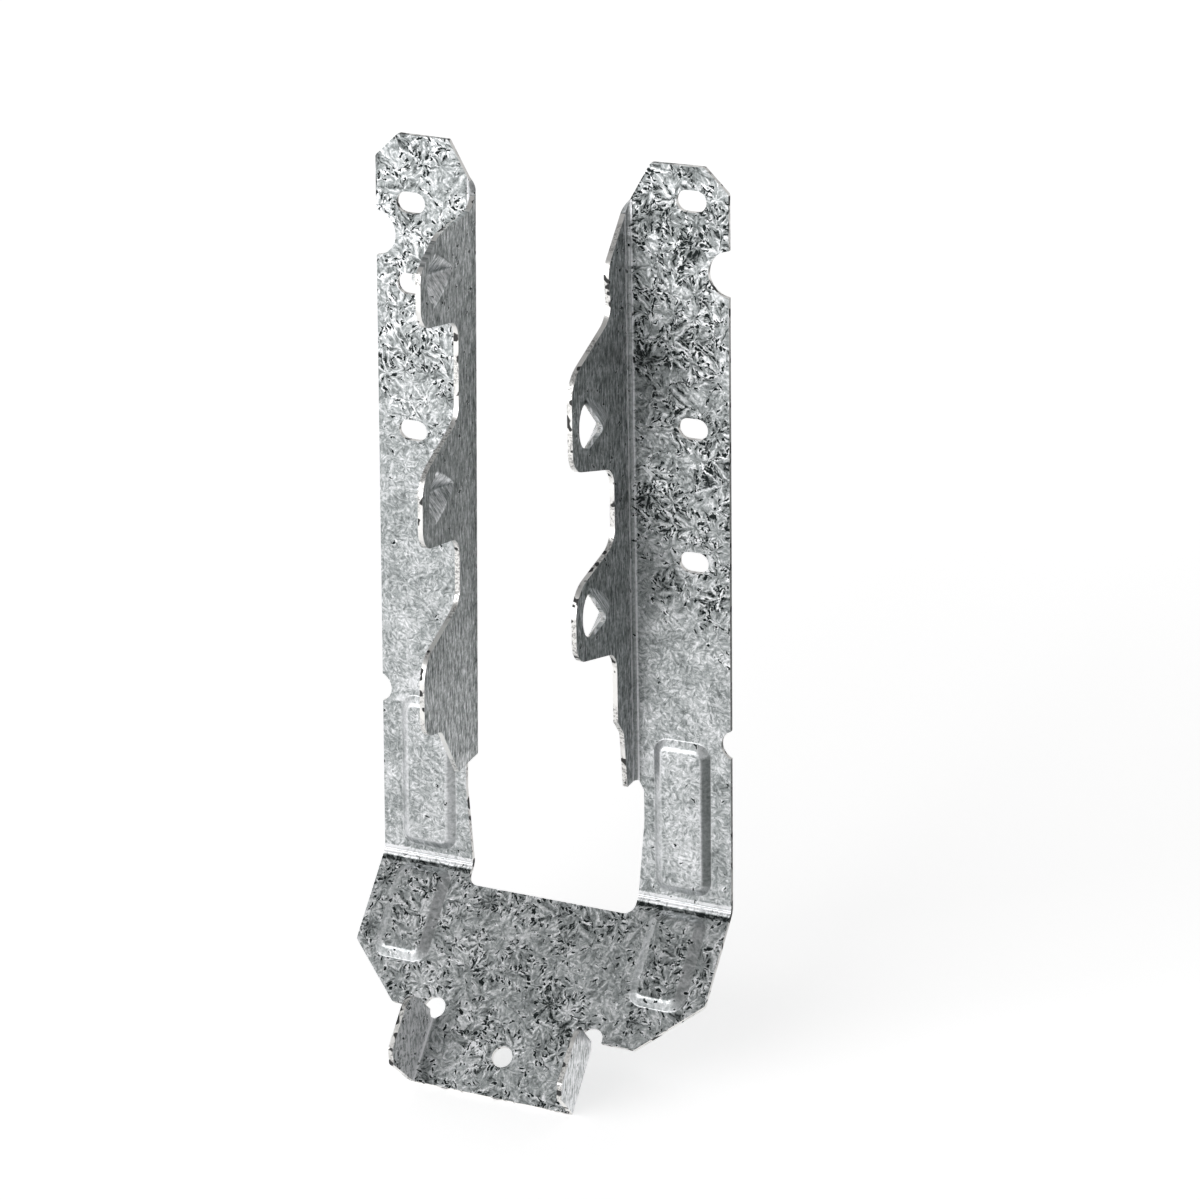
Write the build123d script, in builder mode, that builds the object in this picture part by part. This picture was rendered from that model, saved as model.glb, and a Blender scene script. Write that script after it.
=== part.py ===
"""Joist hanger: one blank of galvanised sheet, stamped, lanced and folded.

The origin is the middle of the joist pocket, on the back of the face flanges, where their plane
meets the underside of the seat. X runs across the pocket, Z up, and -Y out along the joist.
The header stands behind the plane Y = 0.
"""

import os
from math import atan2, cos, radians, sin, tan

from build123d import *

# Sheet and bends; each angle is what the sheet turns through
SHEET = 1.2
SEAT_BEND_RADIUS = 1.6
SEAT_BEND_ANGLE = 45.0
SIDE_BEND_RADIUS = 1.0
SIDE_BEND_ANGLE = 88.8
TONGUE_BEND_RADIUS = 0.9
TONGUE_BEND_ANGLE = 86.6
LEG_TOE_IN = 0.78

# Overall sizes
HEIGHT = 179.0
OVERALL_WIDTH = 89.7
POCKET_WIDTH = 39.7

# Corners of the blank; a rounded one takes at most this share of the run beside it
CORNER_RADIUS = 0.8
ROUNDING_SHARE = 0.48

# Face flanges, called legs here
OUTER_CHAMFER = 5.6
INNER_CUT_WIDTH = 4.7
INNER_CUT_DROP = 8.3
UPPER_NOTCH_RADIUS = 5.4
UPPER_NOTCH_DEPTH = 4.8
UPPER_NOTCH_DROP = 23.7
LOWER_NOTCH_RADIUS = 3.8
LOWER_NOTCH_DEPTH = 2.3
LOWER_NOTCH_HEIGHT = 42.7
SLOT_LENGTH = 7.1
SLOT_WIDTH = 5.0
SLOT_INSET = 8.65

# Necks between the side flanges and the seat
NECK_HEIGHT = 30.3
NECK_INSET = 1.2
NECK_SHOULDER = 2.3
NECK_TAPER_HEIGHT = 20.0
THROAT_OVERHANG = 0.5
THROAT_DEPTH = 5.6
THROAT_RADIUS = 2.8
THROAT_ROUNDING_SHARE = 0.9

# Side flanges, which reach forward in lobes with valleys between
LOBE_REACH = 32.0
LEFT_VALLEY_REACH = 11.8
RIGHT_VALLEY_REACH = 10.4
LEFT_HEAD_REACH = 22.0
LEFT_HEAD_ROOT = 4.6
RIGHT_HEAD_REACH = 11.8
LEFT_FOOT_REACH = 12.9
LEFT_FOOT_LIP = 22.6
RIGHT_FOOT_REACH = 5.6
RIGHT_FOOT_LIP = 7.2
SHOULDER_RADIUS = 7.5
HEEL_RADIUS = 5.8
ROOT_RADIUS = 5.0
HEAD_ROOT_RADIUS = 2.5
FOOT_RADIUS = 1.25
CUT_WRAP_DROP = 3.6
CUT_WRAP_SPARE = 12.0
CUT_WRAP_MARGIN = 0.6

# Nail guides lanced out of the side flanges
GUIDE_MOUTH_REACH = 25.0
GUIDE_HALF_SPAN = 6.3
GUIDE_RISE = 4.6
GUIDE_LENGTH = 10.0
GUIDE_PEAK_RADIUS = 2.0
GUIDE_FOOT_RADIUS = 3.0
GUIDE_FOOT_RUN = 1.6
GUIDE_WAIST_PLACE = 0.5
GUIDE_WAIST_SHARE = 0.66
GUIDE_TAIL_SHARE = 0.08
GUIDE_ROOT = 0.06
GUIDE_HOLE_HALF_SPAN = 5.1
GUIDE_HOLE_REACH = 3.4

# Seat and tongue, measured down the slope from the fold
WING_LENGTH = 37.4
WING_CHAMFER_WIDTH = 13.75
WING_CHAMFER_LENGTH = 13.4
TONGUE_LENGTH = 55.2
TONGUE_SIDE_START = 38.0
TONGUE_SIDE_HEIGHT = 15.9
TONGUE_BACK_RADIUS = 4.4
TONGUE_FRONT_CHAMFER = 2.8
RELIEF_RADIUS = 2.7
RELIEF_SETBACK = 0.6
RELIEF_OFFSET = 0.3
RELIEF_LIFT = 1.0
NAIL_HOLE_RADIUS = 2.55
NAIL_HOLE_EDGE = 9.9

# Pressed ribs
RIB_OUTER_GAP = 4.95
RIB_INNER_GAP = 3.9
RIB_RISE = 1.5
RIB_WALL = 1.9
RIB_CORNER_RADIUS = 3.6
RIB_FOLD_GAP = 3.0
RIB_INNER_RADIUS = 0.5
RIB_OUTER_RADIUS = RIB_INNER_RADIUS + SHEET
LEG_RIB_LENGTH = 39.0
SEAT_RIB_LENGTH = 24.0

# How near an edge is to a plane that it lies in
IN_PLANE = 0.001

# Nail slots, up each leg, as shares of its height
SLOT_SHARES = {-1: (0.608, 0.805, 0.912), 1: (0.484, 0.6625, 0.956)}

# Nail guides, as shares of the side flange's length above the neck
GUIDE_SHARES = {-1: (0.518, 0.882), 1: (0.359, 0.677)}

# Lobes from the top down, as shares of the same length: where the upper edge leaves the valley,
# the shoulder, the heel, and where the lower edge is back at the valley
LEFT_HEAD_LOBE = (0.956, 0.951, 0.907, 0.817, 0.787)
LEFT_LOBE = (0.622, 0.567, 0.446, 0.417)
LEFT_FOOT_LOBE = (0.301, 0.249, 0.118, 0.103)
RIGHT_HEAD = 0.904
RIGHT_LOBES = [(0.823, 0.764, 0.616, 0.570), (0.444, 0.411, 0.295, 0.253)]
RIGHT_FOOT = (0.130, 0.102)

# Places that follow from the sizes above
SIDES = (-1, 1)
half_width = OVERALL_WIDTH / 2
half_pocket = POCKET_WIDTH / 2
seat_setback = (SHEET + SEAT_BEND_RADIUS) * tan(radians(SEAT_BEND_ANGLE / 2))
side_setback = (SHEET + SIDE_BEND_RADIUS) * tan(radians(SIDE_BEND_ANGLE / 2))
tongue_setback = (SHEET + TONGUE_BEND_RADIUS) * tan(radians(TONGUE_BEND_ANGLE / 2))
fold_x = half_pocket + side_setback
leg_width = half_width - fold_x
throat_x = fold_x - THROAT_OVERHANG
tongue_x = half_pocket + SHEET - tongue_setback
cut_top = HEIGHT - INNER_CUT_DROP
flange_length = cut_top - NECK_HEIGHT
rib_width = leg_width - RIB_OUTER_GAP - RIB_INNER_GAP
rib_inset = RIB_OUTER_GAP + rib_width / 2
rib_shrink = SHEET * tan(atan2(RIB_RISE, RIB_WALL) / 2)

# Down the slope of the seat, and square to it upwards
down_slope = Vector(0, -sin(radians(SEAT_BEND_ANGLE)), -cos(radians(SEAT_BEND_ANGLE)))
seat_normal = Vector(0, -cos(radians(SEAT_BEND_ANGLE)), sin(radians(SEAT_BEND_ANGLE)))

# Underside of the seat: x across, y down the slope
seat_plane = Plane(origin=(0, 0, 0), x_dir=(1, 0, 0), z_dir=-seat_normal)


def leg_plane(side):
    """Back of a leg: x across and y up from the foot of its side fold, turned by the toe-in."""
    toe = radians(LEG_TOE_IN)
    across = Vector(cos(toe), 0, side * sin(toe))
    return Plane(origin=(side * fold_x, 0, 0), x_dir=across, z_dir=(0, -1, 0))


def flange_plane(side):
    """Pocket face of a side flange: x forward from the back of the leg, y up along the fold."""
    leg = leg_plane(side)
    spare = radians(90 - SIDE_BEND_ANGLE)
    forward = leg.z_dir * cos(spare) - leg.x_dir * (side * sin(spare))
    corner = leg.from_local_coords((-side * side_setback, 0, 0))
    return Plane(origin=corner, x_dir=forward, z_dir=forward.cross(leg.y_dir))


def tongue_side_plane(side):
    """Outer face of a tongue side: x down the slope, y up from the underside of the seat."""
    lean = radians(90 - TONGUE_BEND_ANGLE)
    rise = seat_normal * cos(lean) + Vector(side * sin(lean), 0, 0)
    corner = (side * (half_pocket + SHEET), 0, 0)
    return Plane(origin=corner, x_dir=down_slope, z_dir=down_slope.cross(rise))


def corner_radii(points, radii):
    """Radii for the inner corners of a line, held to what the two runs at each corner allow."""
    held = []
    for before, corner, after, radius in zip(points, points[1:], points[2:], radii):
        back = Vector(*before) - Vector(*corner)
        ahead = Vector(*after) - Vector(*corner)
        half_turn = radians(90 - back.get_angle(ahead) / 2)
        longest = ROUNDING_SHARE * min(back.length, ahead.length)
        held.append(min(radius, longest / tan(half_turn)))
    return held


def bend_section(plane, centre, inner_radius, start_angle, turn):
    """Section of the sheet round a bend."""
    with BuildSketch(plane) as section:
        with BuildLine():
            outer = CenterArc(centre, inner_radius + SHEET, start_angle, turn)
            inner = CenterArc(centre, inner_radius, start_angle, turn)
            Line(outer @ 0, inner @ 0)
            Line(outer @ 1, inner @ 1)
        make_face()
    return section.sketch


def leg_outline(side):
    """A leg in its own plane, with its edge notches and its three nail slots."""
    plane = leg_plane(side)
    outer_foot = plane.to_local_coords(Vector(side * half_width, 0, seat_setback))
    inner_foot = plane.to_local_coords(Vector(side * throat_x, 0, seat_setback))
    notches = [
        (UPPER_NOTCH_RADIUS, UPPER_NOTCH_DEPTH, HEIGHT - UPPER_NOTCH_DROP),
        (LOWER_NOTCH_RADIUS, LOWER_NOTCH_DEPTH, LOWER_NOTCH_HEIGHT),
    ]
    with BuildSketch(plane) as outline:
        with BuildLine():
            FilletPolyline(
                (outer_foot.X, outer_foot.Y),
                (side * leg_width, HEIGHT - OUTER_CHAMFER),
                (side * (leg_width - OUTER_CHAMFER), HEIGHT),
                (side * INNER_CUT_WIDTH, HEIGHT),
                (0, cut_top),
                radius=CORNER_RADIUS,
            )
            Polyline(
                (0, cut_top),
                (0, NECK_HEIGHT),
                (side * NECK_INSET, NECK_HEIGHT - NECK_SHOULDER),
                (side * NECK_INSET, NECK_TAPER_HEIGHT),
                (inner_foot.X, inner_foot.Y),
                (outer_foot.X, outer_foot.Y),
            )
        make_face()
        for radius, depth, height in notches:
            with Locations((side * (leg_width - depth + radius), height)):
                Circle(radius, mode=Mode.SUBTRACT)
        with Locations([(side * (leg_width - SLOT_INSET), s * HEIGHT) for s in SLOT_SHARES[side]]):
            SlotOverall(SLOT_LENGTH, SLOT_WIDTH, mode=Mode.SUBTRACT)
    return outline.sketch


def left_free_edge():
    """Corners of the left flange's free edge from the top down: reach, share and radius."""
    leave, head, shoulder, heel, back = LEFT_HEAD_LOBE
    corners = [
        (LEFT_HEAD_ROOT, leave, HEAD_ROOT_RADIUS),
        (LEFT_HEAD_REACH, head, SHOULDER_RADIUS),
        (LOBE_REACH, shoulder, SHOULDER_RADIUS / 2),
        (LOBE_REACH, heel, HEEL_RADIUS),
        (LEFT_VALLEY_REACH, back, ROOT_RADIUS),
    ]
    corners += lobe_corners(LEFT_VALLEY_REACH, LEFT_LOBE)
    corners += lobe_corners(LEFT_VALLEY_REACH, LEFT_FOOT_LOBE)[:3]
    corners.append((LEFT_FOOT_LIP, LEFT_FOOT_LOBE[3], HEAD_ROOT_RADIUS))
    corners.append((LEFT_FOOT_REACH, 0, 0))
    return corners


def right_free_edge():
    """Corners of the right flange's free edge from the top down: reach, share and radius."""
    corners = [(RIGHT_HEAD_REACH, RIGHT_HEAD, ROOT_RADIUS)]
    for lobe in RIGHT_LOBES:
        corners += lobe_corners(RIGHT_VALLEY_REACH, lobe)
    corners.append((RIGHT_VALLEY_REACH, RIGHT_FOOT[0], FOOT_RADIUS))
    corners.append((RIGHT_FOOT_LIP, RIGHT_FOOT[1], FOOT_RADIUS))
    corners.append((RIGHT_FOOT_REACH, 0, 0))
    return corners


def lobe_corners(valley, lobe):
    """The four corners of one lobe that rises from a valley and comes back to it."""
    leave, shoulder, heel, back = lobe
    return [
        (valley, leave, ROOT_RADIUS),
        (LOBE_REACH, shoulder, SHOULDER_RADIUS),
        (LOBE_REACH, heel, HEEL_RADIUS),
        (valley, back, ROOT_RADIUS),
    ]


def flange_outline(side):
    """A side flange in its own plane, from its bend to its wavy free edge."""
    corners = right_free_edge() if side > 0 else left_free_edge()
    points = [(side_setback, cut_top - CUT_WRAP_DROP)]
    points += [(reach, NECK_HEIGHT + share * flange_length) for reach, share, _ in corners]
    radii = corner_radii(points, [radius for _, _, radius in corners])
    with BuildSketch(flange_plane(side)) as outline:
        with BuildLine():
            edge = FilletPolyline(*points, radius=radii)
            Polyline(edge @ 1, (side_setback, NECK_HEIGHT), edge @ 0)
        make_face()
    return outline.sketch


def side_bend(side):
    """The bend between a leg and its side flange, whose upper end follows the sloping cut."""
    leg = leg_plane(side)
    foot = leg.from_local_coords((0, NECK_HEIGHT, 0))
    centre = (0, -SHEET - SIDE_BEND_RADIUS)
    across_fold = Plane(origin=foot, x_dir=leg.x_dir, z_dir=leg.y_dir)
    with BuildPart() as bend:
        section = bend_section(
            across_fold, centre, SIDE_BEND_RADIUS, 90, side * SIDE_BEND_ANGLE
        )
        extrude(section, amount=flange_length)
        split(bisect_by=wrapped_cut(side), keep=Keep.BOTTOM)
    return bend.part


def wrapped_cut(side):
    """The sloping cut across a side fold: straight in the flat blank, a helix once it is bent."""
    leg = leg_plane(side)
    fall = CUT_WRAP_DROP / SIDE_BEND_ANGLE
    start = leg.from_local_coords((0, cut_top + CUT_WRAP_SPARE * fall, SHEET + SIDE_BEND_RADIUS))
    towards = Vector(0, 1, 0).rotate(Axis((0, 0, 0), leg.y_dir), -side * CUT_WRAP_SPARE)
    turn = SIDE_BEND_ANGLE + 2 * CUT_WRAP_SPARE
    place = Plane(origin=start, x_dir=towards, z_dir=-leg.y_dir)
    rims = []
    inner = SIDE_BEND_RADIUS - CUT_WRAP_MARGIN
    outer = SIDE_BEND_RADIUS + SHEET + CUT_WRAP_MARGIN
    for radius in (inner, outer):
        with BuildLine() as rim:
            Helix(pitch=360 * fall, height=turn * fall, radius=radius, lefthand=side > 0)
        rims.append(place.from_local_coords(rim.edges()[0]))
    return Face.make_surface_from_curves(*rims[::-side])


def seat_outline():
    """The seat and its tongue in the plane of the seat, between their bends."""
    wing_x = half_width - WING_CHAMFER_WIDTH
    wing_y = WING_LENGTH - WING_CHAMFER_LENGTH
    with BuildSketch(seat_plane) as outline:
        with BuildLine():
            Polyline((0, TONGUE_LENGTH), (tongue_x, TONGUE_LENGTH), (tongue_x, WING_LENGTH))
            FilletPolyline(
                (tongue_x, WING_LENGTH),
                (wing_x, WING_LENGTH),
                (half_width, wing_y),
                (half_width, seat_setback),
                radius=CORNER_RADIUS,
            )
            Line((half_width, seat_setback), (throat_x, seat_setback))
            FilletPolyline(
                (throat_x, seat_setback),
                (throat_x, THROAT_DEPTH),
                (0, THROAT_DEPTH),
                radius=min(THROAT_RADIUS, THROAT_ROUNDING_SHARE * (THROAT_DEPTH - seat_setback)),
            )
            Line((0, THROAT_DEPTH), (0, TONGUE_LENGTH))
        make_face()
        mirror(about=Plane.YZ)
        with Locations((0, TONGUE_LENGTH - NAIL_HOLE_EDGE)):
            Circle(NAIL_HOLE_RADIUS, mode=Mode.SUBTRACT)
    return outline.sketch


def tongue_side_outline(side):
    """One side of the tongue in its own plane, above its bend."""
    top = TONGUE_SIDE_HEIGHT
    with BuildSketch(tongue_side_plane(side)) as outline:
        with BuildLine():
            edge = FilletPolyline(
                (TONGUE_SIDE_START, tongue_setback),
                (TONGUE_SIDE_START, top),
                (TONGUE_LENGTH - TONGUE_FRONT_CHAMFER, top),
                (TONGUE_LENGTH, top - TONGUE_FRONT_CHAMFER),
                (TONGUE_LENGTH, tongue_setback),
                radius=[TONGUE_BACK_RADIUS, SHEET, SHEET],
            )
            Line(edge @ 1, edge @ 0)
        make_face()
    return outline.sketch


def rib_form(plane, length, shrink, top_radius=0):
    """The raised form of a pressed rib on a plane whose origin is the rib's middle."""
    with BuildPart() as form:
        for level, inset in ((0, shrink), (RIB_RISE, shrink + RIB_WALL)):
            with BuildSketch(plane.offset(level)):
                RectangleRounded(
                    rib_width - 2 * inset, length - 2 * inset, RIB_CORNER_RADIUS - inset
                )
        loft(ruled=True)
        if top_radius:
            fillet(edges_in(plane.offset(RIB_RISE), form.edges()), top_radius)
    return form.part


def edges_in(plane, edges):
    """Those of some edges that lie in a plane."""
    return [edge for edge in edges if abs(plane.to_local_coords(edge.center()).Z) < IN_PLANE]


def guide_section(plane, share):
    """A nail guide's section: a rounded peak between soft feet, at a share of its full size."""
    half_span = share * GUIDE_HALF_SPAN
    foot = half_span + share * GUIDE_FOOT_RUN
    foot_radius = share * GUIDE_FOOT_RADIUS
    peak_radius = share * GUIDE_PEAK_RADIUS
    with BuildSketch(plane) as section:
        with BuildLine():
            peak = FilletPolyline(
                (-foot, 0),
                (-half_span, 0),
                (0, share * GUIDE_RISE),
                (half_span, 0),
                (foot, 0),
                radius=[foot_radius, peak_radius, foot_radius],
            )
            Polyline(peak @ 1, (foot, -GUIDE_ROOT), (-foot, -GUIDE_ROOT), peak @ 0)
        make_face()
    return section.sketch


def guide_form(side, height, lift):
    """A nail guide's bulge, highest at its mouth and run out to a point behind it."""
    flange = flange_plane(side)
    outwards = flange.z_dir * -side
    sections = []
    for back, share in ((0, 1), (GUIDE_WAIST_PLACE, GUIDE_WAIST_SHARE), (1, GUIDE_TAIL_SHARE)):
        middle = (GUIDE_MOUTH_REACH - back * GUIDE_LENGTH, height, -side * lift)
        place = Plane(
            origin=flange.from_local_coords(middle),
            x_dir=flange.y_dir,
            z_dir=flange.y_dir.cross(outwards),
        )
        sections.append(guide_section(place, share))
    with BuildPart() as form:
        loft(sections=sections)
    return form.part


def guide_hole(side, height):
    """The half-round hole in front of a nail guide's mouth."""
    flange = flange_plane(side)
    with BuildPart() as hole:
        with BuildSketch(flange):
            with BuildLine():
                arc = EllipticalCenterArc(
                    (GUIDE_MOUTH_REACH, height),
                    GUIDE_HOLE_REACH,
                    GUIDE_HOLE_HALF_SPAN,
                    -90,
                    arc_size=180,
                )
                Line(arc @ 1, arc @ 0)
            make_face()
        extrude(amount=GUIDE_RISE, both=True)
    return hole.part


with BuildPart() as joist_hanger:
    # The seat, and the tongue that carries on from it
    extrude(seat_outline(), amount=-SHEET)
    for side in SIDES:
        # A leg and the bend that joins it to the seat
        extrude(leg_outline(side), amount=SHEET)
        seat_bend = bend_section(
            Plane.YZ.offset(side * throat_x),
            (-SHEET - SEAT_BEND_RADIUS, seat_setback),
            SEAT_BEND_RADIUS,
            0,
            -SEAT_BEND_ANGLE,
        )
        extrude(seat_bend, amount=side * (half_width - throat_x))

        # A side flange and its bend
        add(side_bend(side))
        extrude(flange_outline(side), amount=-side * SHEET)

        # A side of the tongue and its bend
        tongue_bend = bend_section(
            Plane(origin=down_slope * TONGUE_SIDE_START, x_dir=(1, 0, 0), z_dir=down_slope),
            (side * tongue_x, SHEET + TONGUE_BEND_RADIUS),
            TONGUE_BEND_RADIUS,
            -90,
            side * TONGUE_BEND_ANGLE,
        )
        extrude(tongue_bend, amount=TONGUE_LENGTH - TONGUE_SIDE_START)
        extrude(tongue_side_outline(side), amount=side * SHEET)

    # Relief holes where the tongue's folds end, each wrapped round its fold
    for side in SIDES:
        relief_y = WING_LENGTH - RELIEF_SETBACK
        relief_x = side * (half_pocket + RELIEF_OFFSET)
        with BuildSketch(seat_plane):
            with Locations((relief_x, relief_y)):
                Circle(RELIEF_RADIUS)
        extrude(amount=-tongue_setback, mode=Mode.SUBTRACT)
        with BuildSketch(tongue_side_plane(side)):
            with Locations((relief_y, RELIEF_LIFT)):
                Circle(RELIEF_RADIUS)
        extrude(amount=side * tongue_setback, mode=Mode.SUBTRACT)

    # Ribs pressed forward in the legs and up in the seat
    for side in SIDES:
        leg_face = leg_plane(side)
        leg_middle = (
            side * (leg_width - rib_inset),
            RIB_FOLD_GAP + LEG_RIB_LENGTH / 2,
            0,
        )
        leg_back = Plane(
            origin=leg_face.from_local_coords(leg_middle),
            x_dir=leg_face.x_dir,
            z_dir=leg_face.z_dir,
        )
        seat_back = Plane(
            origin=seat_plane.from_local_coords(
                (side * (half_width - rib_inset), RIB_FOLD_GAP + SEAT_RIB_LENGTH / 2, 0)
            ),
            x_dir=seat_plane.x_dir,
            z_dir=seat_normal,
        )
        for back, length in ((leg_back, LEG_RIB_LENGTH), (seat_back, SEAT_RIB_LENGTH)):
            front = back.offset(SHEET)
            add(rib_form(front, length, 0, RIB_OUTER_RADIUS))
            fillet(edges_in(front, joist_hanger.edges(Select.LAST)), RIB_INNER_RADIUS)
            add(rib_form(back, length, rib_shrink), mode=Mode.SUBTRACT)
            fillet(edges_in(back, joist_hanger.edges(Select.LAST)), RIB_OUTER_RADIUS)

    # Nail guides: the bulge, the hollow behind it and the half-round hole at its mouth
    for side in SIDES:
        for share in GUIDE_SHARES[side]:
            height = NECK_HEIGHT + share * flange_length
            add(guide_form(side, height, SHEET - GUIDE_ROOT))
            add(guide_form(side, height, -GUIDE_ROOT), mode=Mode.SUBTRACT)
            add(guide_hole(side, height), mode=Mode.SUBTRACT)

joist_hanger.part.label = "joist_hanger"
os.makedirs("parts", exist_ok=True)
export_step(joist_hanger.part, "parts/joist_hanger.step")
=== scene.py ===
# %% [markdown]
# # Dressing a galvanised joist hanger
# The frame holds one folded sheet, already at its real size and place. This lesson gives it the
# finish of hot-dip galvanised steel, and puts it on a pale floor in soft studio light.

# %% Load the frame
import math

import bmesh
import bpy
from mathutils import Matrix, Vector
from mathutils.bvhtree import BVHTree


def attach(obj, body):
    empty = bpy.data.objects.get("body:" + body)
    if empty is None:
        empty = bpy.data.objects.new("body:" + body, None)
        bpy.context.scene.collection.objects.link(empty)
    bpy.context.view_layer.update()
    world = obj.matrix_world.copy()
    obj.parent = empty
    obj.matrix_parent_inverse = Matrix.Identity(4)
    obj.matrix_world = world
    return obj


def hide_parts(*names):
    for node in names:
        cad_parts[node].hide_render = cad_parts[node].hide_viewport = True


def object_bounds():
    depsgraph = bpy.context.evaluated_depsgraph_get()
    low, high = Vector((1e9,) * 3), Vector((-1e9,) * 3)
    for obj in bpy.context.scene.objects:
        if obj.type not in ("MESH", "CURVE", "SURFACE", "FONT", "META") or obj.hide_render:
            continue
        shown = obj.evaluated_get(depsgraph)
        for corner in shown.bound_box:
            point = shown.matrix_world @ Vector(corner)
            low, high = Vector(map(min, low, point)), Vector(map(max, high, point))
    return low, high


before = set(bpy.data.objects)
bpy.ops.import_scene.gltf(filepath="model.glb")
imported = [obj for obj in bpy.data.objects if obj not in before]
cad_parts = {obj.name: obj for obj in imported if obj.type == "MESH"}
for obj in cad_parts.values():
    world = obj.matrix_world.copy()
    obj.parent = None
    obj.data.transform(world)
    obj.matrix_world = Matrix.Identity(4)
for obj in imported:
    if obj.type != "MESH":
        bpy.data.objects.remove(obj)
cad_low, cad_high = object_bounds()
print("the sheet spans", cad_low, "to", cad_high)

# %% [markdown]
# ## Small helpers for node trees
# Every finish below is a chain of a few nodes, so one helper adds a node with its settings and
# another joins two sockets. Sizes on the object are easier to think about in millimetres, so the
# patterns work on Object coordinates times a thousand.

# %% Helpers
MM = 0.001


def add_node(tree, kind, **settings):
    """A node of one kind, with its properties set by name."""
    node = tree.nodes.new(kind)
    for name, value in settings.items():
        setattr(node, name, value)
    return node


def feed(tree, socket, value):
    """Joins an output to a socket, or writes a plain number or colour on it."""
    if isinstance(value, bpy.types.NodeSocket):
        tree.links.new(value, socket)
    else:
        socket.default_value = value


def maths(tree, operation, first, second=0.0, third=0.0, clamp=False):
    """One Math node."""
    node = add_node(tree, "ShaderNodeMath", operation=operation, use_clamp=clamp)
    for socket, value in zip(node.inputs, (first, second, third)):
        feed(tree, socket, value)
    return node.outputs[0]


def total(tree, *values):
    """The sum of several values."""
    result = values[0]
    for value in values[1:]:
        result = maths(tree, "ADD", result, value)
    return result


def product(tree, *values):
    """The product of several values."""
    result = values[0]
    for value in values[1:]:
        result = maths(tree, "MULTIPLY", result, value)
    return result


def ease(tree, value, low, high, to_low=0.0, to_high=1.0):
    """A value taken smoothly from one range to another."""
    node = add_node(tree, "ShaderNodeMapRange", interpolation_type="SMOOTHSTEP")
    for name, given in (
        ("Value", value),
        ("From Min", low),
        ("From Max", high),
        ("To Min", to_low),
        ("To Max", to_high),
    ):
        feed(tree, node.inputs[name], given)
    return node.outputs["Result"]


def between(tree, share, start, end):
    """From start to end in a straight line, as a share goes from 0 to 1."""
    return maths(tree, "MULTIPLY_ADD", share, end - start, start)


def noise(tree, vector, scale, detail=2.0, roughness=0.5, dimensions="2D"):
    """A noise texture's grey value."""
    node = add_node(tree, "ShaderNodeTexNoise", noise_dimensions=dimensions)
    feed(tree, node.inputs["Vector"], vector)
    feed(tree, node.inputs["Scale"], scale)
    feed(tree, node.inputs["Detail"], detail)
    feed(tree, node.inputs["Roughness"], roughness)
    return node.outputs["Fac"]


def stretched(tree, vector, scale, offset=(0.0, 0.0, 0.0)):
    """A vector times a scale for each axis, and moved."""
    node = add_node(tree, "ShaderNodeVectorMath", operation="MULTIPLY_ADD")
    feed(tree, node.inputs[0], vector)
    feed(tree, node.inputs[1], scale)
    feed(tree, node.inputs[2], offset)
    return node.outputs[0]


def wandering(tree, flat, scale, reach):
    """Flat coordinates that stray a little, so that straight borders waver."""
    node = add_node(tree, "ShaderNodeTexNoise", noise_dimensions="2D")
    feed(tree, node.inputs["Vector"], flat)
    feed(tree, node.inputs["Scale"], scale)
    return stretched(tree, node.outputs["Color"], (reach, reach, 0.0), flat)


def turned(tree, vector, angle):
    """A vector turned about Z."""
    node = add_node(tree, "ShaderNodeVectorRotate", rotation_type="Z_AXIS")
    feed(tree, node.inputs["Vector"], vector)
    feed(tree, node.inputs["Angle"], angle)
    return node.outputs[0]


def new_group(name, inputs, outputs):
    """An empty node group with named sockets, each given as a name and a kind."""
    tree = bpy.data.node_groups.new(name, "ShaderNodeTree")
    for label, kind in inputs:
        tree.interface.new_socket(label, in_out="INPUT", socket_type="NodeSocket" + kind)
    for label, kind in outputs:
        tree.interface.new_socket(label, in_out="OUTPUT", socket_type="NodeSocket" + kind)
    return tree, tree.nodes.new("NodeGroupInput"), tree.nodes.new("NodeGroupOutput")


def use_group(tree, group, **inputs):
    """A group placed in a tree, with its inputs fed by name."""
    node = add_node(tree, "ShaderNodeGroup", node_tree=group)
    for label, value in inputs.items():
        feed(tree, node.inputs[label], value)
    return node.outputs


# %% [markdown]
# ## Flat coordinates on a folded sheet
# The zinc crystallised on the flat coil before it was folded, so its pattern runs in the plane of
# each panel. A group picks the two coordinates that lie in the panel from the way it faces: across
# and up on the legs, forward and up on the flanges, across and down the slope on the seat. All
# that stands in front of the legs counts as flange, the nail guides' hoods too.

# %% The panel coordinates
# Places are in millimetres, and a facing is the share of the normal along an axis. The shift
# takes the flanges to another stretch of the pattern
PANEL_SHIFT = 137.0
FLANGE_FACING = 0.85
SEAT_FACING = 0.38
FLANGE_START = -3.1
FLANGE_FOOT = 20.0
HOOD_FOOT = 10.0
TONGUE_TOP = -10.0
TONGUE_HALF_WIDTH = 24.0
FOLD_PLACE = 22.0
FOLD_LEAN = 0.0136
FOLD_DEPTH = 2.2
LINE_REACH = 0.4
LINE_CORE = 0.15
SHADE_REACH = 6.5
SEAT_FOLD_HEIGHT = 0.7
SEAT_FOLD_REACH = 1.2
UNDER_FOLD_SHADE = 2.5


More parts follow.
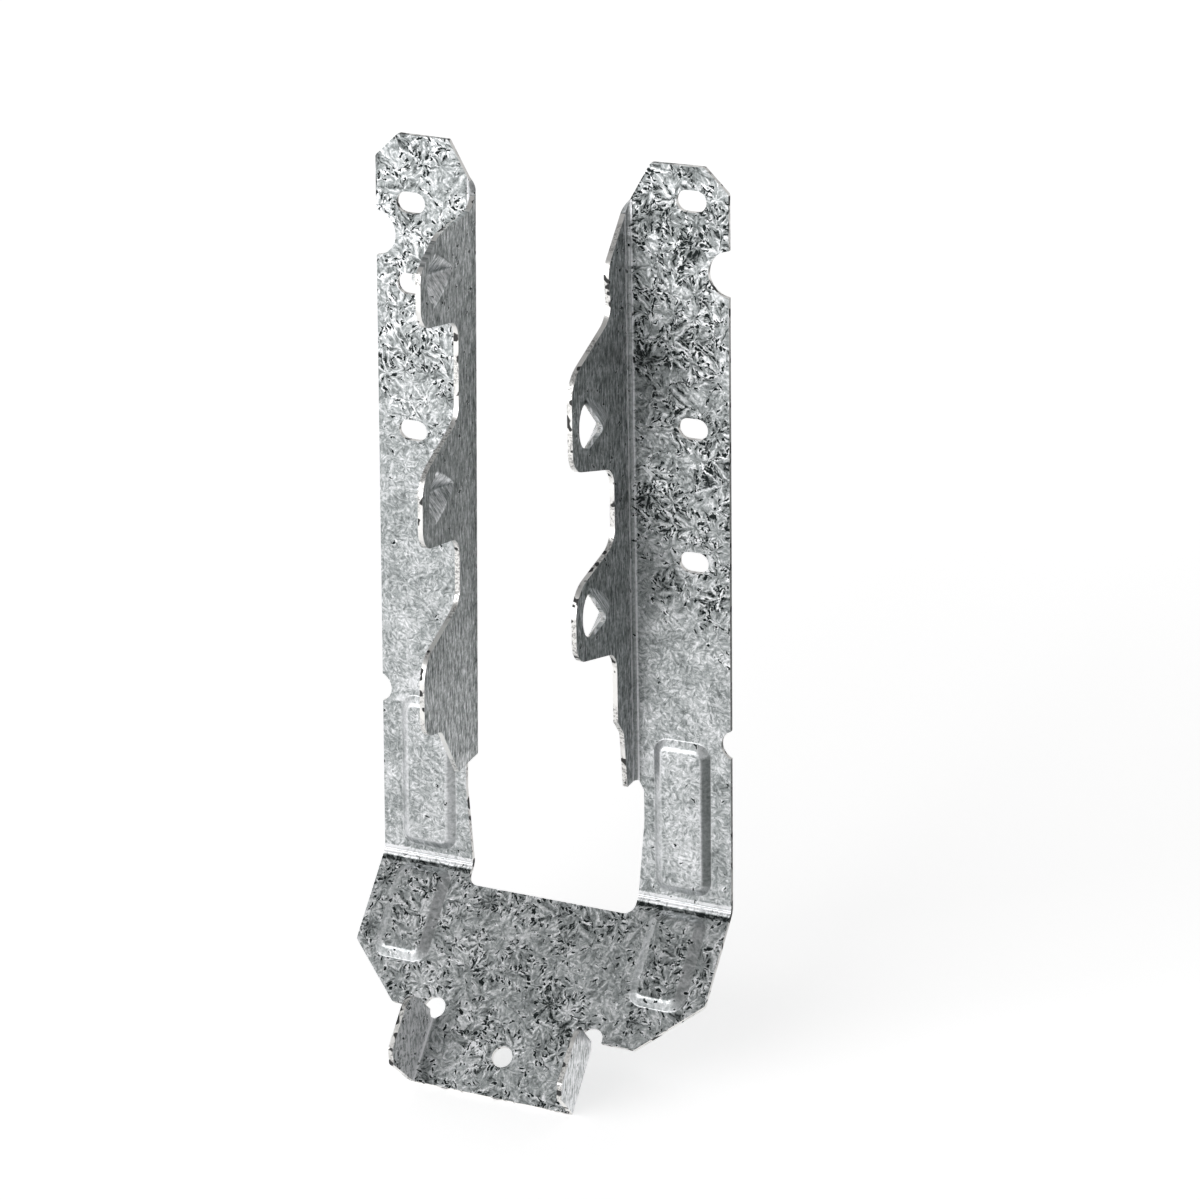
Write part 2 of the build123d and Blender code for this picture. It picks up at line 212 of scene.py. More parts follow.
def panel_group():
    """Object coordinates in millimetres, laid flat in the panel that a point is on."""
    tree, entry, leave = new_group(
        "panel_coordinates",
        [("Position", "Vector"), ("Normal", "Vector")],
        [
            ("Flat", "Vector"),
            ("Flange", "Float"),
            ("Bend", "Float"),
            ("Painted_highlight", "Float"),
            ("Tongue", "Float"),
            ("Shade", "Float"),
        ],
    )
    split = tree.nodes.new("ShaderNodeSeparateXYZ")
    feed(tree, split.inputs[0], stretched(tree, entry.outputs["Position"], (1 / MM,) * 3))
    facing = tree.nodes.new("ShaderNodeSeparateXYZ")
    feed(tree, facing.inputs[0], entry.outputs["Normal"])
    x, y, z = split.outputs
    aside = maths(tree, "ABSOLUTE", facing.outputs[0])
    in_front = product(
        tree,
        ease(tree, y, FLANGE_START + 0.3, FLANGE_START - 0.3),
        ease(tree, z, HOOD_FOOT - 2, HOOD_FOOT + 2),
    )
    sideways = maths(
        tree, "GREATER_THAN", maths(tree, "MAXIMUM", aside, in_front), FLANGE_FACING
    )
    rise = maths(tree, "ABSOLUTE", facing.outputs[2])
    seat_facing = maths(tree, "SUBTRACT", rise, in_front)
    sloping = maths(tree, "GREATER_THAN", seat_facing, SEAT_FACING)
    across = tree.nodes.new("ShaderNodeMix")
    feed(tree, across.inputs["Factor"], sideways)
    feed(tree, across.inputs["A"], x)
    feed(tree, across.inputs["B"], maths(tree, "ADD", y, PANEL_SHIFT))
    down = maths(tree, "MULTIPLY", maths(tree, "ADD", y, z), math.sqrt(0.5))
    along = tree.nodes.new("ShaderNodeMix")
    feed(tree, along.inputs["Factor"], sloping)
    feed(tree, along.inputs["A"], z)
    feed(tree, along.inputs["B"], down)
    flat = tree.nodes.new("ShaderNodeCombineXYZ")
    feed(tree, flat.inputs["X"], across.outputs["Result"])
    feed(tree, flat.inputs["Y"], along.outputs["Result"])
    feed(tree, leave.inputs["Flat"], flat.outputs[0])
    turned_side = ease(tree, aside, FLANGE_FACING - 0.05, FLANGE_FACING + 0.1)
    flange = maths(tree, "MAXIMUM", turned_side, in_front)
    feed(tree, leave.inputs["Flange"], flange)
    # Round a bend, the normal lies between those of the two panels. The bends get a painted
    # highlight, and less of the pattern
    bend = product(tree, ease(tree, aside, 0.04, 0.2), ease(tree, aside, 0.995, 0.95))
    rolled = product(tree, ease(tree, rise, 0.03, 0.12), ease(tree, rise, 0.66, 0.52))
    feed(tree, leave.inputs["Bend"], maths(tree, "MAXIMUM", bend, rolled))
    # Painted highlight: a bright line on both sides of each flange's fold, and along the tongue's
    # folds, where the bends catch the light
    width = maths(tree, "ABSOLUTE", x)
    from_leg = maths(tree, "MULTIPLY_ADD", z, FOLD_LEAN, width)
    from_leg = maths(tree, "ABSOLUTE", maths(tree, "SUBTRACT", from_leg, FOLD_PLACE))
    from_front = maths(tree, "ABSOLUTE", maths(tree, "ADD", y, FOLD_DEPTH))
    ahead = maths(tree, "LESS_THAN", facing.outputs[1], -0.5)
    outward = maths(tree, "GREATER_THAN", product(tree, x, facing.outputs[0]), 0.0)
    above = ease(tree, z, FLANGE_FOOT - 2, FLANGE_FOOT + 2)
    on_leg = product(tree, ease(tree, from_leg, LINE_REACH, LINE_CORE), ahead, above)
    on_flange = ease(tree, from_front, LINE_REACH, LINE_CORE)
    on_flange = product(tree, on_flange, outward, flange, above)
    tongue = product(
        tree,
        ease(tree, z, TONGUE_TOP + 2, TONGUE_TOP - 2),
        ease(tree, width, TONGUE_HALF_WIDTH, TONGUE_HALF_WIDTH - 1),
    )
    on_tongue = product(tree, ease(tree, aside, 0.4, 0.55), ease(tree, aside, 0.9, 0.75), tongue)
    # Painted highlight and shade at the fold between leg and seat: two bright lines, and a dark
    # line of painted shade below them
    from_middle = maths(tree, "ABSOLUTE", maths(tree, "SUBTRACT", z, SEAT_FOLD_HEIGHT))
    lines = ease(tree, from_middle, 0.1, 0.3, 0.3, 1.0)
    band = ease(tree, from_middle, SEAT_FOLD_REACH, SEAT_FOLD_REACH - 0.3)
    on_seat_fold = product(tree, band, lines, ahead)
    band_foot = SEAT_FOLD_HEIGHT - SEAT_FOLD_REACH
    under_fold = product(
        tree,
        ease(tree, z, band_foot, band_foot - 0.2),
        ease(tree, z, band_foot - 1.0, band_foot - 0.7),
        ahead,
    )
    highlight_lines = maths(tree, "MAXIMUM", maths(tree, "MAXIMUM", on_leg, on_flange), on_tongue)
    highlight_lines = maths(tree, "MAXIMUM", highlight_lines, on_seat_fold)
    feed(tree, leave.inputs["Painted_highlight"], highlight_lines)
    feed(tree, leave.inputs["Tongue"], product(tree, tongue, flange))
    # The pocket side of a flange darkens towards its fold
    near_fold = product(tree, ease(tree, y, -SHADE_REACH, -1.5), flange, above)
    inward = maths(tree, "SUBTRACT", 1.0, outward)
    in_pocket = product(tree, near_fold, inward)
    shade = maths(tree, "MULTIPLY_ADD", under_fold, UNDER_FOLD_SHADE, in_pocket)
    feed(tree, leave.inputs["Shade"], shade)
    return tree


panel_coordinates = panel_group()

# %% [markdown]
# ## Spangle
# Molten zinc freezes in crystals a few millimetres across. Each grows six ways from its own seed,
# so it is hatched with fine straight ridges that turn by sixty degrees from one sixth to the next.
# The ridges keep their share of the crystal, so one group serves for coarse and for fine ones.
# A Voronoi pattern gives the crystals, and a noise much longer than it is wide draws the ridges.

# %% The spangle group
SIXTH = math.pi / 3
RIDGE_ALONG = 1.3
RIDGE_ACROSS = 5.6
RIM_WAVES = 0.45
RIM_REACH = 1.6
SEED_SPREAD = 1.5
HATCH_STEP = 17.0
BRIGHT_RIDGES = (0.53, 0.66)
DARK_RIDGES = (0.45, 0.34)


def spangle_group():
    """Ridges about zero, a tone for each crystal, the distance to its rim, and its turn."""
    tree, entry, leave = new_group(
        "spangle",
        [("Flat", "Vector"), ("Crystal", "Float")],
        [("Ridges", "Float"), ("Grain", "Float"), ("Border", "Float"), ("Turn", "Float")],
    )
    bent = wandering(tree, entry.outputs["Flat"], RIM_WAVES, RIM_REACH)
    scale = maths(tree, "DIVIDE", 1.0, entry.outputs["Crystal"])
    cells = add_node(tree, "ShaderNodeTexVoronoi", voronoi_dimensions="2D")
    rims = add_node(
        tree, "ShaderNodeTexVoronoi", voronoi_dimensions="2D", feature="DISTANCE_TO_EDGE"
    )
    for texture in (cells, rims):
        feed(tree, texture.inputs["Vector"], bent)
        feed(tree, texture.inputs["Scale"], scale)
    tint = tree.nodes.new("ShaderNodeSeparateColor")
    feed(tree, tint.inputs[0], cells.outputs["Color"])
    from_middle = add_node(tree, "ShaderNodeVectorMath", operation="SUBTRACT")
    feed(tree, from_middle.inputs[0], bent)
    feed(tree, from_middle.inputs[1], cells.outputs["Position"])
    # The seed of a crystal lies off its middle, and often under its neighbour
    aside = add_node(tree, "ShaderNodeVectorMath", operation="SCALE")
    spread = stretched(
        tree, cells.outputs["Color"], (SEED_SPREAD,) * 3, (-SEED_SPREAD / 2,) * 3
    )
    feed(tree, aside.inputs[0], spread)
    feed(tree, aside.inputs["Scale"], entry.outputs["Crystal"])
    seed = add_node(tree, "ShaderNodeVectorMath", operation="ADD")
    feed(tree, seed.inputs[0], from_middle.outputs[0])
    feed(tree, seed.inputs[1], aside.outputs[0])
    arm = tree.nodes.new("ShaderNodeSeparateXYZ")
    feed(tree, arm.inputs[0], seed.outputs[0])
    start = maths(tree, "MULTIPLY", tint.outputs[0], 2 * math.pi)
    angle = maths(tree, "ADD", maths(tree, "ARCTAN2", arm.outputs[1], arm.outputs[0]), start)
    sixth = maths(tree, "ROUND", maths(tree, "DIVIDE", angle, SIXTH))
    turn = maths(tree, "SUBTRACT", start, maths(tree, "MULTIPLY", sixth, SIXTH))
    hatch = stretched(
        tree,
        turned(tree, seed.outputs[0], turn),
        (RIDGE_ALONG, RIDGE_ACROSS, 1.0),
        stretched(tree, cells.outputs["Position"], (HATCH_STEP,) * 3),
    )
    ridges = noise(tree, hatch, scale, 1.5)
    bright = ease(tree, ridges, *BRIGHT_RIDGES)
    dark = ease(tree, ridges, *DARK_RIDGES)
    feed(tree, leave.inputs["Ridges"], maths(tree, "SUBTRACT", bright, dark))
    feed(tree, leave.inputs["Grain"], tint.outputs[1])
    border = maths(tree, "MULTIPLY", rims.outputs["Distance"], entry.outputs["Crystal"])
    feed(tree, leave.inputs["Border"], border)
    feed(tree, leave.inputs["Turn"], turn)
    return tree


spangle = spangle_group()

# %% [markdown]
# ## Chips
# Here and there whole facets tip away from the light. They show as short dark slivers with a
# bright outline, gathered along the rims of the larger crystals.

# %% The chip group
CHIP_ALONG = 0.42
CHIP_ACROSS = 1.3
CHIP_WAVES = 1.3
CHIP_REACH = 1.1
CHIP_CORE = (0.4, 0.26)
RING_INSIDE = (0.32, 0.46)
RING_OUTSIDE = (0.7, 0.5)


def chip_group():
    """Dark slivers and their bright outlines, where Density, from 0 to 1, lets them be."""
    tree, entry, leave = new_group(
        "chips",
        [("Flat", "Vector"), ("Turn", "Float"), ("Density", "Float")],
        [("Dark", "Float"), ("Outline", "Float")],
    )
    bent = wandering(tree, entry.outputs["Flat"], CHIP_WAVES, CHIP_REACH)
    laid = stretched(
        tree, turned(tree, bent, entry.outputs["Turn"]), (CHIP_ALONG, CHIP_ACROSS, 1.0)
    )
    cells = add_node(tree, "ShaderNodeTexVoronoi", voronoi_dimensions="2D")
    feed(tree, cells.inputs["Vector"], laid)
    feed(tree, cells.inputs["Scale"], 1.0)
    tint = tree.nodes.new("ShaderNodeSeparateColor")
    feed(tree, tint.inputs[0], cells.outputs["Color"])
    picked = maths(tree, "LESS_THAN", tint.outputs[0], entry.outputs["Density"])
    near = cells.outputs["Distance"]
    feed(tree, leave.inputs["Dark"], product(tree, ease(tree, near, *CHIP_CORE), picked))
    ring = product(tree, ease(tree, near, *RING_INSIDE), ease(tree, near, *RING_OUTSIDE), picked)
    feed(tree, leave.inputs["Outline"], ring)
    return tree


chips = chip_group()

# %% [markdown]
# ## The galvanised face
# The zinc is a rough metal. Its colour is a cool pale grey that the ridges, the chips and a fine
# mottle make lighter and darker. The pattern is strong in some areas and hardly there in others,
# as the coil cooled unevenly, and the dies have smoothed it on the flanges and round the bends.

# %% The galvanised material
BLACK_ZINC = (0.012, 0.016, 0.016, 1.0)
MIDDLE_ZINC = (0.335, 0.357, 0.358, 1.0)
PALE_ZINC = (0.94, 0.945, 0.965, 1.0)
FACE_TONE = 0.565
FLANGE_TONE = 0.60
STRONG_HEIGHT = 92.0
SIDE_DIFFERENCE = 0.5
LEFT_STRENGTH = 0.7
SEAT_STRENGTH = 0.75
PATCH_SCALE = 0.075
PATCH_BORDERS = (0.38, 0.56)
WEAK_PATCH = 0.25
FLANGE_SMOOTHING = 0.85
BEND_SMOOTHING = 0.7
TONGUE_RESTORED = 0.6
COARSE_CRYSTAL = 5.5
FINE_CRYSTAL = 2.9
WEAK_CONTRAST = 0.12
STRONG_CONTRAST = 0.38
FINE_CONTRAST = 0.15
GRAIN_CONTRAST = 0.12
MOTTLE_SCALE = 1.15
MOTTLE_CONTRAST = 0.5
CLOUD_SCALE = 0.12
CLOUD_CONTRAST = 0.35
STREAK_SHAPE = (1.3, 0.3, 1.0)
STREAK_CONTRAST = 1.7
STRONG_DARKER = 0.1
LEFT_TONGUE_PAINTED_LIGHT = 0.2
RIGHT_TONGUE_PAINTED_LIGHT = 0.17
CROWN_LIGHTER = 0.07
OUTLINE_LIGHTER = 0.3
CHIP_DARKER = 0.85
BEND_PAINTED_HIGHLIGHT = 0.12
SHADE_DARKER = 0.17
PAINTED_HIGHLIGHT_LIGHTER = 0.42
ZINC_METALLIC = 0.88
PAINTED_HIGHLIGHT_METALLIC = 0.4
TONGUE_METALLIC = 0.25
DARK_ROUGHNESS = 0.5
PALE_ROUGHNESS = 0.34
TEXTURE_STRENGTH = 0.3
TEXTURE_DEPTH = 0.06 * MM
CREASE_DEPTH = 0.22 * MM


def centred(tree, value, amount):
    """A value between 0 and 1, moved about zero and scaled."""
    return maths(tree, "MULTIPLY_ADD", value, amount, -amount / 2)


def galvanised_material():
    """Spangled zinc for the faces of the sheet."""
    material = bpy.data.materials.new("galvanised_zinc")
    material.use_nodes = True
    tree = material.node_tree
    shader = tree.nodes["Principled BSDF"]
    place = tree.nodes.new("ShaderNodeTexCoord")
    faces = tree.nodes.new("ShaderNodeNewGeometry")
    panel = use_group(
        tree,
        panel_coordinates,
        Position=place.outputs["Object"],
        Normal=faces.outputs["Normal"],
    )
    flat, flange = panel["Flat"], panel["Flange"]

    # Where the pattern is strong: the upper legs, the right one further down, and the seat
    where = tree.nodes.new("ShaderNodeSeparateXYZ")
    feed(tree, where.inputs[0], stretched(tree, place.outputs["Object"], (1 / MM,) * 3))
    height = maths(tree, "MULTIPLY_ADD", where.outputs[0], SIDE_DIFFERENCE, where.outputs[2])
    right_side = ease(tree, where.outputs[0], -5.0, 5.0)
    upper = ease(tree, height, STRONG_HEIGHT - 10, STRONG_HEIGHT + 10)
    by_side = between(tree, right_side, LEFT_STRENGTH, 1.0)
    upper = product(tree, upper, by_side)
    seat = ease(tree, where.outputs[2], 3.0, -3.0)
    region = maths(tree, "MAXIMUM", upper, maths(tree, "MULTIPLY", seat, SEAT_STRENGTH))
    uneven = ease(tree, noise(tree, flat, PATCH_SCALE, 1.5), *PATCH_BORDERS, WEAK_PATCH, 1.0)
    strong = product(tree, region, uneven)
    left_side = product(tree, panel["Tongue"], maths(tree, "SUBTRACT", 1.0, right_side))
    # How much of the pattern the dies have left
    smoothed = maths(tree, "MULTIPLY_ADD", flange, -FLANGE_SMOOTHING, 1.0)
    kept = product(
        tree,
        maths(tree, "MULTIPLY_ADD", left_side, TONGUE_RESTORED, smoothed),
        maths(tree, "MULTIPLY_ADD", panel["Bend"], -BEND_SMOOTHING, 1.0),
    )

    coarse = use_group(tree, spangle, Flat=flat, Crystal=COARSE_CRYSTAL)
    fine = use_group(tree, spangle, Flat=flat, Crystal=FINE_CRYSTAL)
    rims = ease(tree, coarse["Border"], 1.5, 0.5, 0.15, 0.75)
    density = product(tree, maths(tree, "MULTIPLY_ADD", strong, 0.98, 0.02), rims, kept)
    slivers = use_group(tree, chips, Flat=flat, Turn=coarse["Turn"], Density=density)
    contrast = between(tree, strong, WEAK_CONTRAST, STRONG_CONTRAST)
    coarse_ridges = product(tree, coarse["Ridges"], contrast, kept)
    fine_ridges = product(tree, fine["Ridges"], FINE_CONTRAST, kept)
    grain = product(tree, centred(tree, coarse["Grain"], GRAIN_CONTRAST), kept)
    mottle = centred(tree, noise(tree, flat, MOTTLE_SCALE, 2.0, 0.65), MOTTLE_CONTRAST)
    cloud = centred(tree, noise(tree, flat, CLOUD_SCALE, 3.0, 0.6), CLOUD_CONTRAST)
    streaks = noise(tree, stretched(tree, flat, STREAK_SHAPE), 1.0, 3.0, 0.7)
    drawn = product(tree, centred(tree, streaks, STREAK_CONTRAST), flange)
    # The crowns of the ribs on the legs are rubbed paler
    crown = product(
        tree,
        ease(tree, where.outputs[1], -1.6, -2.1),
        ease(tree, where.outputs[2], 3.0, 6.0),
        maths(tree, "SUBTRACT", 1.0, flange),
    )
    # Painted light: the sides of the tongue are lifted paler than the flanges, the left one most
    # of all, against the dark card they reflect
    tongue_light = between(tree, right_side, LEFT_TONGUE_PAINTED_LIGHT, RIGHT_TONGUE_PAINTED_LIGHT)
    painted_tongue_light = product(tree, panel["Tongue"], tongue_light)
    # Strong pattern darkens the zinc, twice as much on the right
    darker = between(tree, right_side, -STRONG_DARKER, -2 * STRONG_DARKER)
    tone = total(
        tree,
        between(tree, flange, FACE_TONE, FLANGE_TONE),
        product(tree, strong, kept, darker),
        coarse_ridges,
        fine_ridges,
        grain,
        mottle,
        cloud,
        drawn,
        # painted light on the sides of the tongue
        painted_tongue_light,
        product(tree, crown, CROWN_LIGHTER),
        product(tree, slivers["Outline"], OUTLINE_LIGHTER),
        product(tree, slivers["Dark"], -CHIP_DARKER),
        # painted highlight round the bends and on the walls of the ribs
        product(tree, panel["Bend"], BEND_PAINTED_HIGHLIGHT),
        product(tree, panel["Shade"], -SHADE_DARKER),
        # painted highlight lines along the folds
        product(tree, panel["Painted_highlight"], PAINTED_HIGHLIGHT_LIGHTER),
    )
    tone = maths(tree, "MAXIMUM", tone, 0.0, clamp=True)
    colour = tree.nodes.new("ShaderNodeValToRGB")
    stops = colour.color_ramp.elements
    stops[0].color, stops[1].color = BLACK_ZINC, PALE_ZINC
    stops.new(0.5).color = MIDDLE_ZINC
    feed(tree, colour.inputs["Fac"], tone)
    feed(tree, shader.inputs["Base Color"], colour.outputs["Color"])
    # The painted highlight lines and the tongue's left side scatter more of the light
    line_metal = ease(tree, panel["Painted_highlight"], 0.0, 1.0, ZINC_METALLIC, PAINTED_HIGHLIGHT_METALLIC)
    side_metal = ease(tree, left_side, 0.0, 1.0, ZINC_METALLIC, TONGUE_METALLIC)
    feed(tree, shader.inputs["Metallic"], maths(tree, "MINIMUM", line_metal, side_metal))
    roughness = ease(tree, tone, 0.0, 1.0, DARK_ROUGHNESS, PALE_ROUGHNESS)
    feed(tree, shader.inputs["Roughness"], roughness)
    bump = tree.nodes.new("ShaderNodeBump")
    feed(tree, bump.inputs["Strength"], TEXTURE_STRENGTH)
    feed(tree, bump.inputs["Distance"], TEXTURE_DEPTH)
    feed(tree, bump.inputs["Height"], total(tree, coarse_ridges, fine_ridges, slivers["Outline"]))
    crease = tree.nodes.new("ShaderNodeBump")
    feed(tree, crease.inputs["Strength"], 1.0)
    feed(tree, crease.inputs["Distance"], CREASE_DEPTH)
    feed(tree, crease.inputs["Height"], panel["Painted_highlight"])
    feed(tree, crease.inputs["Normal"], bump.outputs[0])
    feed(tree, shader.inputs["Normal"], crease.outputs[0])
    return material


zinc = galvanised_material()

# %% [markdown]
# ## The sheared edge
# Where the press cut the blank, bare steel shows beside smeared zinc: long bright lengths, dull
# ones, and short dark tears.

# %% The cut-edge material
TORN_STEEL = (0.06, 0.06, 0.06, 1.0)
SHEARED_STEEL = (0.86, 0.85, 0.83, 1.0)
SMEAR_SCALE = 0.14
TEAR_SCALE = 0.38
GRIT_SCALE = 1.7
EDGE_METALLIC = 0.85
TORN_ROUGHNESS = 0.6
SHEARED_ROUGHNESS = 0.32


def cut_edge_material():
    """Sheared steel for the thin sides of the sheet."""
    material = bpy.data.materials.new("sheared_edge")
    material.use_nodes = True
    tree = material.node_tree
    shader = tree.nodes["Principled BSDF"]
    place = tree.nodes.new("ShaderNodeTexCoord")
    scaled = stretched(tree, place.outputs["Object"], (1 / MM,) * 3)
    smeared = ease(tree, noise(tree, scaled, SMEAR_SCALE, 1.0, 0.5, "3D"), 0.42, 0.56)
    torn = ease(tree, noise(tree, scaled, TEAR_SCALE, 1.0, 0.5, "3D"), 0.37, 0.4)
    grit = ease(tree, noise(tree, scaled, GRIT_SCALE, 2.0, 0.6, "3D"), 0.38, 0.55, 0.35, 0.9)
    bright = product(tree, maths(tree, "MAXIMUM", grit, smeared), torn)
    colour = add_node(tree, "ShaderNodeMix", data_type="RGBA")
    feed(tree, colour.inputs["Factor"], bright)
    feed(tree, colour.inputs["A"], TORN_STEEL)
    feed(tree, colour.inputs["B"], SHEARED_STEEL)
    feed(tree, shader.inputs["Base Color"], colour.outputs["Result"])
    feed(tree, shader.inputs["Metallic"], EDGE_METALLIC)
    roughness = ease(tree, bright, 0.0, 1.0, TORN_ROUGHNESS, SHEARED_ROUGHNESS)
    feed(tree, shader.inputs["Roughness"], roughness)
    return material


sheared = cut_edge_material()

# %% [markdown]
# ## The dressed sheet
# The frame's own mesh is loose triangles, so bends would shade as flat strips. A merged copy
# shades smoothly round the bends and stays crisp at the cuts, and its thin sides can take the
# sheared finish. They meet their neighbours at a square corner, and a ray sent into the metal from
# one of them goes much further than the sheet's thickness before it comes out.

# %% Build the dressed sheet
SHEET_THICKNESS = 1.2 * MM
CREASE_ANGLE = math.radians(32)
CUT_ANGLE = math.radians(68)
MERGE_DISTANCE = 0.001 * MM
RAY_INSET = 0.02 * MM
RAY_REACH = 0.1
SEAT_TOP = 3 * MM
RIB_INNER_SIDE = 24 * MM
RIB_LEAN = 0.2
SEAT_UP = Vector((0.0, -1.0, 1.0)).normalized()


def is_cut_side(face, bends, solid):
    """Whether a face is a thin sheared side and not a panel or the wall of a rib."""
    middle = face.calc_center_median()
    if max(bends[edge] for edge in face.edges) < CUT_ANGLE:
        return False
    # The walls of the seat's ribs lean, and a cut side there stands square to the seat
    by_rib = middle.z < SEAT_TOP and abs(middle.x) > RIB_INNER_SIDE
    if by_rib and abs(face.normal.dot(SEAT_UP)) > RIB_LEAN:
        return False
    start = middle - face.normal * RAY_INSET
    _, _, _, depth = solid.ray_cast(start, -face.normal, RAY_REACH)
    return depth is not None and depth > 2 * SHEET_THICKNESS


def dressed_sheet(node):
    """A merged copy of the frame's sheet with its cut sides marked for their own finish."""
    sheet = bmesh.new()
    sheet.from_mesh(node.data)
    bmesh.ops.remove_doubles(sheet, verts=sheet.verts, dist=MERGE_DISTANCE)
    sheet.normal_update()
    bends = {edge: edge.calc_face_angle(0) for edge in sheet.edges}
    solid = BVHTree.FromBMesh(sheet)
    for face in sheet.faces:
        face.smooth = True
        face.material_index = int(is_cut_side(face, bends, solid))
    for edge in sheet.edges:
        edge.smooth = len(edge.link_faces) == 2 and bends[edge] < CREASE_ANGLE
    mesh = bpy.data.meshes.new("hanger_sheet")
    sheet.to_mesh(mesh)
    print("cut faces:", sum(f.material_index for f in sheet.faces), "of", len(sheet.faces))
    sheet.free()
    mesh.materials.append(zinc)
    mesh.materials.append(sheared)
    dressed = bpy.data.objects.new("hanger_sheet", mesh)
    bpy.context.scene.collection.objects.link(dressed)
    # Large flat faces lead where they meet a bend, so they shade flat
    weighted = dressed.modifiers.new("flat_shading", "WEIGHTED_NORMAL")
    weighted.keep_sharp = True
    return dressed


hanger_sheet = dressed_sheet(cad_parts["joist_hanger"])
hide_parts("joist_hanger")
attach(hanger_sheet, "root")

# %% [markdown]
# ## Floor and light
# The hanger stands on the tip of its tongue over a pale floor. Zinc shows what is around it, so
# the room matters as much as the lamps: a low soft lamp at the front left, a weak one above and
# behind, a pale room that dims above and to the right, and a dark card on the right that only
# reflections see, which gives the side flanges their depth.

# %% Floor, lamps and world
FLOOR_SIZE = 12.0
FLOOR_COLOUR = (0.86, 0.86, 0.86)
FLOOR_LIFT = 0.53
FAR_LIFT = 0.66
CARD_COLOUR = (0.10, 0.125, 0.115)
CARD_START = 0.075
CARD_SIZE = 1.2
CARD_HEIGHT = 1 * MM
LAMP_DISTANCE = 1.25
LAMP_SIZE = 1.0
KEY_POWER = 7.2
TOP_POWER = 1.5
ROOM_ABOVE = 0.3
ROOM_RIGHT = 0.7


def plain_material(name, colour):
    """A matt surface of one colour."""
    material = bpy.data.materials.new(name)
    material.use_nodes = True
    shader = material.node_tree.nodes["Principled BSDF"]
    shader.inputs["Base Color"].default_value = (*colour, 1.0)
    shader.inputs["Roughness"].default_value = 0.9
    shader.inputs["Specular IOR Level"].default_value = 0.0
    return material


def floor_material():
    """A pale floor lifted to white for the camera and for reflections, with its shadow kept."""
    material = plain_material("pale_floor", FLOOR_COLOUR)
    tree = material.node_tree
    path = tree.nodes.new("ShaderNodeLightPath")
    seen = maths(tree, "MAXIMUM", path.outputs["Is Camera Ray"], path.outputs["Is Glossy Ray"])
    seen = maths(tree, "MAXIMUM", seen, path.outputs["Is Transmission Ray"])
    # The floor further off gets less of the lamps, and is lifted more
    place = tree.nodes.new("ShaderNodeTexCoord")
    reach = add_node(tree, "ShaderNodeVectorMath", operation="LENGTH")
    feed(tree, reach.inputs[0], place.outputs["Object"])
    amount = ease(tree, reach.outputs["Value"], 0.2, 0.9, FLOOR_LIFT, FAR_LIFT)
    lift = tree.nodes.new("ShaderNodeEmission")
    feed(tree, lift.inputs["Strength"], maths(tree, "MULTIPLY", seen, amount))
    both = tree.nodes.new("ShaderNodeAddShader")
    feed(tree, both.inputs[0], tree.nodes["Principled BSDF"].outputs[0])
    feed(tree, both.inputs[1], lift.outputs[0])
    feed(tree, tree.nodes["Material Output"].inputs["Surface"], both.outputs[0])
    return material


def level_sheet(name, centre, size, material):
    """A level square of one material, not attached to the hanger."""
    build = bmesh.new()
    bmesh.ops.create_grid(build, x_segments=1, y_segments=1, size=size / 2)
    bmesh.ops.translate(build, vec=centre, verts=build.verts)
    data = bpy.data.meshes.new(name)
    build.to_mesh(data)
    build.free()
    data.materials.append(material)
    piece = bpy.data.objects.new(name, data)
    bpy.context.scene.collection.objects.link(piece)
    return piece


ground = cad_low.z
level_sheet("floor", (0, 0, ground), FLOOR_SIZE, floor_material())
card = level_sheet(
    "dark_card",
    (CARD_START + CARD_SIZE / 2, 0, ground + CARD_HEIGHT),
    CARD_SIZE,
    plain_material("card", CARD_COLOUR),
)
card.visible_camera = False
card.visible_diffuse = False
card.visible_shadow = False


def soft_lamp(name, place, target, size, power):
    """A square soft lamp turned towards a point."""
    data = bpy.data.lights.new(name, "AREA")
    data.size = size
    data.energy = power
    lamp = bpy.data.objects.new(name, data)
    lamp.location = place
    lamp.rotation_mode = "QUATERNION"
    lamp.rotation_quaternion = (Vector(target) - Vector(place)).to_track_quat("-Z", "Y")
    bpy.context.scene.collection.objects.link(lamp)


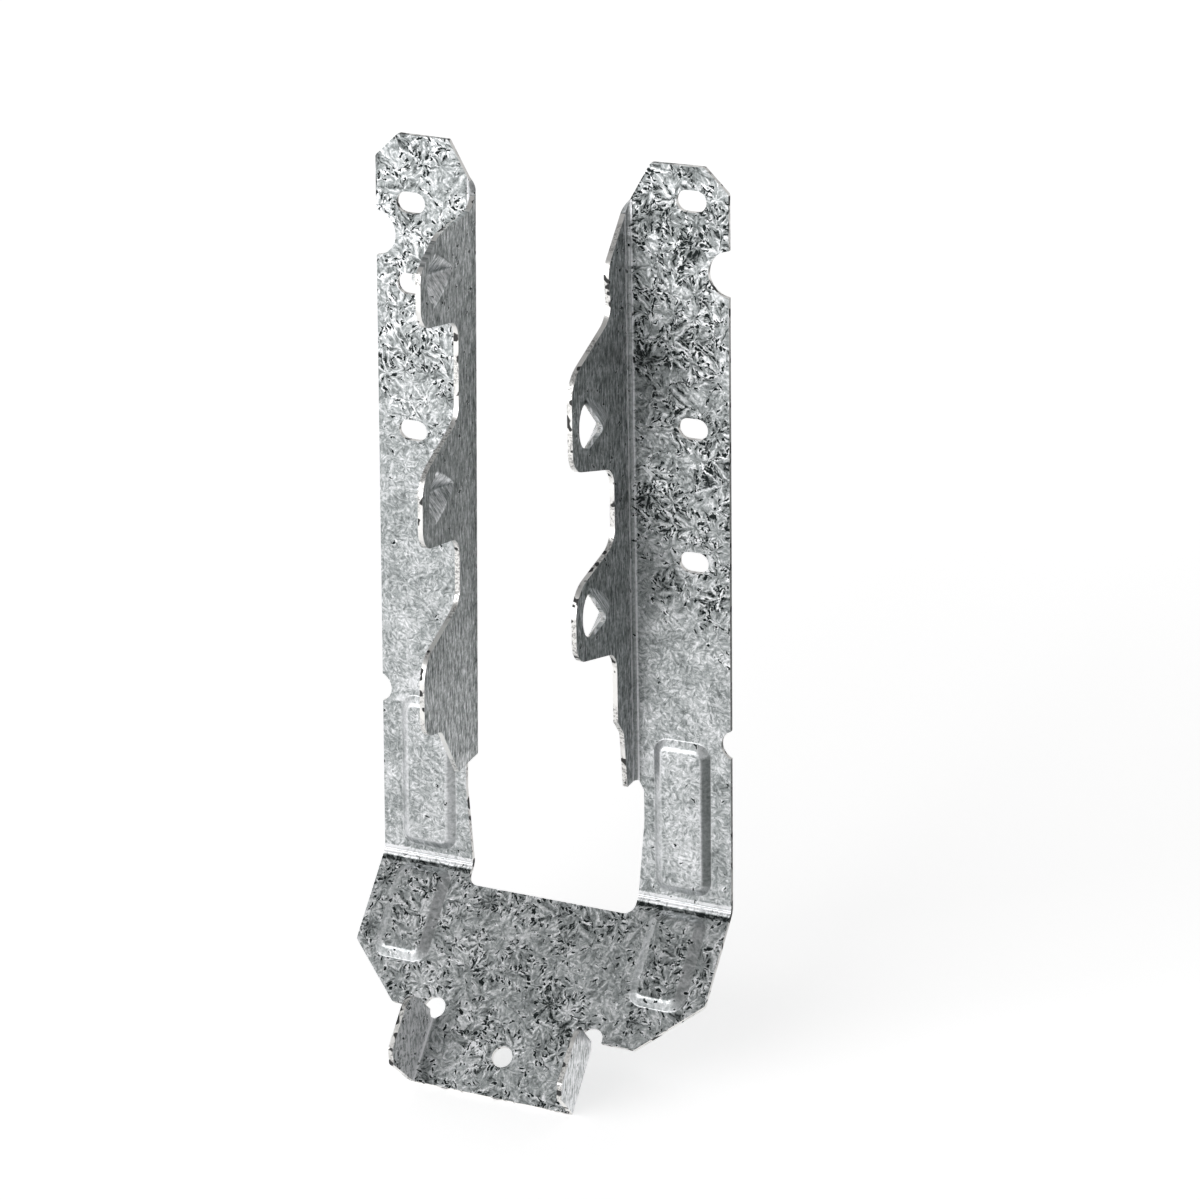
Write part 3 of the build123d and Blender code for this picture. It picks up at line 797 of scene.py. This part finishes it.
middle = (cad_low + cad_high) / 2
low_left = Vector((-0.40, -0.85, 0.34)).normalized()
high_back = Vector((0.25, 0.55, 0.80)).normalized()
soft_lamp("key", middle + low_left * LAMP_DISTANCE, middle, LAMP_SIZE, KEY_POWER)
soft_lamp("top", middle + high_back * LAMP_DISTANCE, middle, LAMP_SIZE, TOP_POWER)

world = bpy.data.worlds.new("studio")
bpy.context.scene.world = world
world.use_nodes = True
room = world.node_tree
aim = room.nodes.new("ShaderNodeTexCoord")
direction = room.nodes.new("ShaderNodeSeparateXYZ")
feed(room, direction.inputs[0], aim.outputs["Generated"])
ceiling = ease(room, direction.outputs[2], 0.05, 0.8, 1.0, ROOM_ABOVE)
side = ease(room, direction.outputs[0], -0.4, 0.5, 1.0, ROOM_RIGHT)
# The camera sees the room as white. The zinc reflects it as it is, darker above and to the right
path = room.nodes.new("ShaderNodeLightPath")
seen = maths(room, "MAXIMUM", path.outputs["Is Camera Ray"], path.outputs["Is Transmission Ray"])
strength = maths(room, "MAXIMUM", product(room, ceiling, side), seen)
feed(room, room.nodes["Background"].inputs["Strength"], strength)
feed(room, room.nodes["Background"].inputs["Color"], (1.0, 1.0, 1.0, 1.0))

# %% [markdown]
# ## Camera
# The camera was worked back from the photograph's straight edges and holes: a long lens, a little
# to the right of the hanger and a little above it.

# %% Camera
AZIMUTH = math.radians(23.07)
ELEVATION = math.radians(22.35)
ROLL = math.radians(-0.243)
DISTANCE = 0.881
AIM = Vector((0.01138, 0.0, 0.07359))
LENS = 115.1

back = Vector(
    (
        math.sin(AZIMUTH) * math.cos(ELEVATION),
        -math.cos(AZIMUTH) * math.cos(ELEVATION),
        math.sin(ELEVATION),
    )
)
right = Matrix.Rotation(ROLL, 3, back) @ Vector((math.cos(AZIMUTH), math.sin(AZIMUTH), 0.0))
up = back.cross(right)
camera_data = bpy.data.cameras.new("camera")
camera_data.lens = LENS
camera = bpy.data.objects.new("camera", camera_data)
facing = Matrix((right, up, back)).transposed().to_4x4()
camera.matrix_world = Matrix.Translation(AIM + back * DISTANCE) @ facing
bpy.context.scene.collection.objects.link(camera)
bpy.context.scene.camera = camera
bpy.context.scene.view_settings.view_transform = "Standard"
